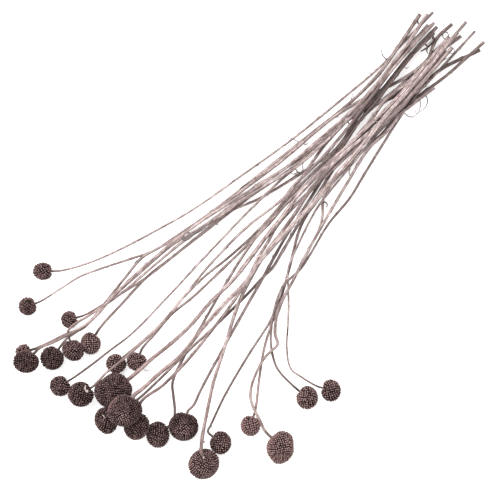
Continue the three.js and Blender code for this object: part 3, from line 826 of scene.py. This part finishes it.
def placeFloret(kind, place, out, normal, looks, draw):
    # one floret with its own lean, size and tones
    floret = kind.copy()
    way = normal + Vector([draw.gauss(0, floretLook["lean"]) for _ in range(3)])
    grow = draw.gauss(1, floretLook["sizes"])
    spin = draw.uniform(0, 2 * math.pi)
    bright = looks["shade"] * draw.uniform(*floretLook["tones"])
    pink = looks["rosy"] * draw.uniform(*floretLook["pinks"])
    tall = 1.0
    for direction, cosine in looks["worn"]:
        if facing(out, direction, cosine):
            tall = floretLook["wornHeight"]
            bright *= floretLook["wornTone"]
            pink += floretLook["wornPink"]
    for direction, cosine, pointing in looks["combed"]:
        if facing(out, direction, cosine):
            tall = floretLook["combedHeight"]
            way = way.normalized() * floretLook["combedLift"] + fieldDirection(*pointing)
    for x, y, radius, more in looks["glints"]:
        far = (place.xy - onField(x, y).xy).length / (radius * mm)
        if far < 1 and out.z > 0:
            bright += more * (1 - far) * draw.uniform(*floretLook["glints"])
    matrix = (Matrix.Translation(place) @ way.to_track_quat("Z", "Y").to_matrix().to_4x4()
              @ Matrix.Rotation(spin, 4, "Z") @ Matrix.Diagonal((grow, grow, grow * tall, 1)))
    bmesh.ops.transform(floret, matrix=matrix, verts=floret.verts)
    tone = floret.verts.layers.float["tone"]
    rosy = floret.verts.layers.float["rosy"]
    for v in floret.verts:
        v[tone] = bright
        v[rosy] = pink
    return floret


plainHead = {"shade": 0.7, "rosy": 0.05, "worn": [], "combed": [], "glints": []}


def makeHead(number):
    draw = random.Random(headLook["seeds"] + number)
    looks = {**plainHead, **headTones[number]}
    spacing = headLook["spacing"]
    stations = stemStations(number)
    entry = (stations[1][0] - stations[0][0]).normalized()
    shape, middle = headBall(number, entry)
    surface = BVHTree.FromBMesh(shape)
    area = sum(f.calc_area() for f in shape.faces)
    count = round(area / ((spacing * mm) ** 2 * math.sqrt(3) / 2))
    turn = (-entry).to_track_quat("Z", "Y")
    golden = math.pi * (3 - math.sqrt(5))
    kinds = [floretShape(rings, 5, spacing) for rings in (openFloret, budFloret)]
    scratch = bpy.data.meshes.new("floret")
    scatter = headLook["scatter"] * spacing * mm / (area / (4 * math.pi)) ** 0.5
    placed = 0
    for i in range(count):
        height = 1 - (2 * i + 1) / count
        ring = math.sqrt(1 - height * height)
        out = turn @ Vector((ring * math.cos(i * golden), ring * math.sin(i * golden), height))
        out = (out + Vector([draw.gauss(0, scatter) for _ in range(3)])).normalized()
        place, normal, _, _ = surface.ray_cast(middle, out)
        fromStem = place - stations[0][0]
        aside = (fromStem - entry * fromStem.dot(entry)).length
        if out.dot(entry) > 0 and aside < stations[0][1] + headLook["bare"] * spacing * mm:
            continue
        floret = placeFloret(draw.choice(kinds), place, out, normal, looks, draw)
        floret.to_mesh(scratch)
        floret.free()
        shape.from_mesh(scratch)
        placed += 1
    for v in shape.verts:
        v.co.z = max(v.co.z, headLook["lowest"])
    for places, width, dark in headSlivers.get(number, []):
        line = []
        for x, y in places:
            top = surface.ray_cast(onField(x, y, 200), Vector((0, 0, -1)))[0]
            line.append(top + Vector((0, 0, (headLook["height"] + headLook["sliverRise"]) * mm)))
        addFibre(shape, line, width, headLook["sliverFlatness"], number, dark)
    bpy.data.meshes.remove(scratch)
    for kind in kinds:
        kind.free()
    finishPiece(shape, f"head{number:02d}", [driedFlorets, looseFibre], f"head_{number:02d}")
    return placed


total = sum(makeHead(number) for number in range(1, 25))
print("heads made,", total, "florets")

studio = {
    "floor": (0.9, 0.9, 0.9, 1),
    "glow": 0.6,  # the floor's own light, which keeps the shadows faint
    "floorSize": 8.0,
    "sky": 0.85,
    "key": 34.0,
    "keySize": 1.2,
    "keyPlace": (-450, -350, 1300),  # millimetres in the field, and above it
    "distance": 8.0,
    "sensor": 36.0,
}


def layFloor():
    shape = bmesh.new()
    bmesh.ops.create_grid(shape, x_segments=1, y_segments=1, size=studio["floorSize"] / 2)
    mesh = bpy.data.meshes.new("floor")
    shape.to_mesh(mesh)
    shape.free()
    floor = bpy.data.objects.new("floor", mesh)
    bpy.context.scene.collection.objects.link(floor)
    paint, _, shader = startMaterial("paleFloor", Roughness=0.9, Specular_IOR_Level=0.1)
    shader.inputs["Base Color"].default_value = studio["floor"]
    shader.inputs["Emission Color"].default_value = (1, 1, 1, 1)
    shader.inputs["Emission Strength"].default_value = studio["glow"]
    mesh.materials.append(paint)


def hangLights():
    world = bpy.data.worlds.new("softRoom")
    bpy.context.scene.world = world
    world.use_nodes = True
    world.node_tree.nodes["Background"].inputs["Color"].default_value = (1, 1, 1, 1)
    world.node_tree.nodes["Background"].inputs["Strength"].default_value = studio["sky"]
    light = bpy.data.lights.new("softbox", "AREA")
    light.shape = "SQUARE"
    light.size = studio["keySize"]
    light.energy = studio["key"]
    softbox = bpy.data.objects.new("softbox", light)
    bpy.context.scene.collection.objects.link(softbox)
    softbox.location = onField(*studio["keyPlace"])
    softbox.rotation_euler = (softbox.location - field["middle"]).to_track_quat("Z", "Y").to_euler()


def placeCamera():
    # straight above the field, and far enough away that the heads hardly lean outwards
    lens = bpy.data.cameras.new("camera")
    lens.sensor_width = studio["sensor"]
    lens.lens = studio["sensor"] * studio["distance"] / field["side"]
    lens.clip_end = studio["distance"] * 4
    camera = bpy.data.objects.new("camera", lens)
    bpy.context.scene.collection.objects.link(camera)
    camera.location = field["middle"] + Vector((0, 0, studio["distance"]))
    camera.rotation_euler = (0, 0, field["turn"])
    bpy.context.scene.camera = camera


layFloor()
hangLights()
placeCamera()
bpy.context.scene.view_settings.view_transform = "Standard"
print("studio set")
